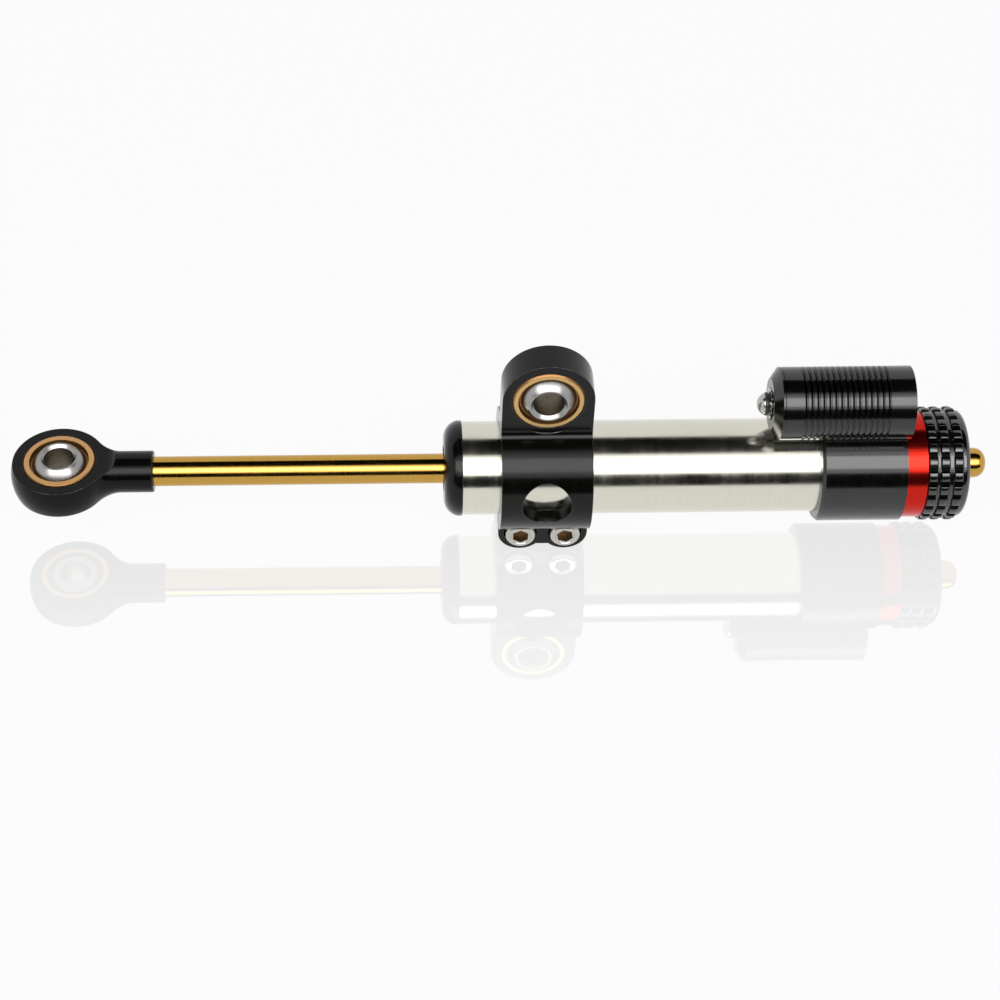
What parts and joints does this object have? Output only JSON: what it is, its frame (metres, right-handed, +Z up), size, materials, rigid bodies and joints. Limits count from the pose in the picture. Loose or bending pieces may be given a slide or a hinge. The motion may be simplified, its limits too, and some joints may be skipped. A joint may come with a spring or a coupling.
{
  "type": "motorcycle steering damper",
  "caption": "Linear steering damper: gold through rod with ball-joint rod end, steel tube in a split ball-joint clamp, ribbed reservoir and clicked adjuster knob",
  "frame": {"origin": "centre of the clamp's spherical bearing, where the damper is bolted to the frame", "axes": "+X along the damper from the rod end to the adjuster knob, +Z up from the tube towards the clamp's ear, the clamp's bolt along Y with the screw heads and the window facing -Y"},
  "size_m": [0.2608, 0.0332, 0.0626],
  "materials": {
    "black_anodised": "satin black anodised",
    "red_anodised": "gloss red anodised",
    "bare_aluminium": "turned",
    "tube_steel": "brushed round",
    "gold_rod": "polished gold nitride coating",
    "bronze": "turned bronze",
    "bearing_steel": "polished",
    "screw_steel": "polished stainless",
    "spring_steel": "oiled",
    "seal_rubber": "matt black",
    "bearing_plastic": "filled wear-band plastic"
  },
  "bodies": {
    "cylinder": {"gland_cap": "black_anodised", "wiper_front": "seal_rubber", "rod_seal_front": "seal_rubber", "rod_bush_front": "bronze", "gland_seal": "seal_rubber", "outer_tube": "tube_steel", "inner_tube": "bare_aluminium", "clamp": "black_anodised", "clamp_race": "bronze", "clamp_screws": "screw_steel", "head_block": "black_anodised", "rear_guide": "bare_aluminium", "rod_bush_rear": "bronze", "rod_seal_rear": "seal_rubber", "wiper_rear": "seal_rubber", "tube_seal": "seal_rubber", "sleeve_seals": "seal_rubber", "knob_circlip": "spring_steel", "lock_ring": "red_anodised", "detent_ball": "bearing_steel", "detent_spring": "spring_steel", "reservoir_plug": "black_anodised", "plug_seal": "seal_rubber", "plug_circlip": "spring_steel", "nose_screw": "bearing_steel", "nose_seal": "seal_rubber", "toothed_washer": "screw_steel"},
    "clamp_ball": {"clamp_ball": "bearing_steel"},
    "piston_band": {"piston_band": "bearing_plastic"},
    "rod": {"piston_rod": "gold_rod", "piston": "bare_aluminium", "piston_seal": "seal_rubber", "piston_circlips": "spring_steel", "rod_end": "black_anodised", "rod_end_race": "bronze"},
    "rod_end_ball": {"rod_end_ball": "bearing_steel"},
    "adjuster": {"knob": "black_anodised", "metering_sleeve": "bare_aluminium"},
    "compensator": {"compensator_piston": "bare_aluminium", "compensator_seal": "seal_rubber"}
  },
  "joints": [
    {"name": "clamp_ball_tilt", "type": "hinge", "parent": "cylinder", "child": "clamp_ball", "pos_m": [0, 0, 0], "axis": [0, 0, 1], "range_deg": [-14, 14]},
    {"name": "rod_slide", "type": "slide", "parent": "cylinder", "child": "piston_band", "axis": [1, 0, 0], "range_m": [0, 0.075]},
    {"name": "rod_spin", "type": "hinge", "parent": "piston_band", "child": "rod", "pos_m": [0, 0, -0.0281], "axis": [1, 0, 0], "continuous": true},
    {"name": "rod_end_ball_tilt", "type": "hinge", "parent": "rod", "child": "rod_end_ball", "pos_m": [-0.1294, 0, -0.0281], "axis": [0, 1, 0], "range_deg": [-14, 14]},
    {"name": "knob_turn", "type": "hinge", "parent": "cylinder", "child": "adjuster", "pos_m": [0.1055, 0, -0.0281], "axis": [1, 0, 0], "range_deg": [-150, 150]},
    {"name": "compensator_slide", "type": "slide", "parent": "cylinder", "child": "compensator", "axis": [1, 0, 0], "range_m": [-0.004, 0.004]}
  ]
}
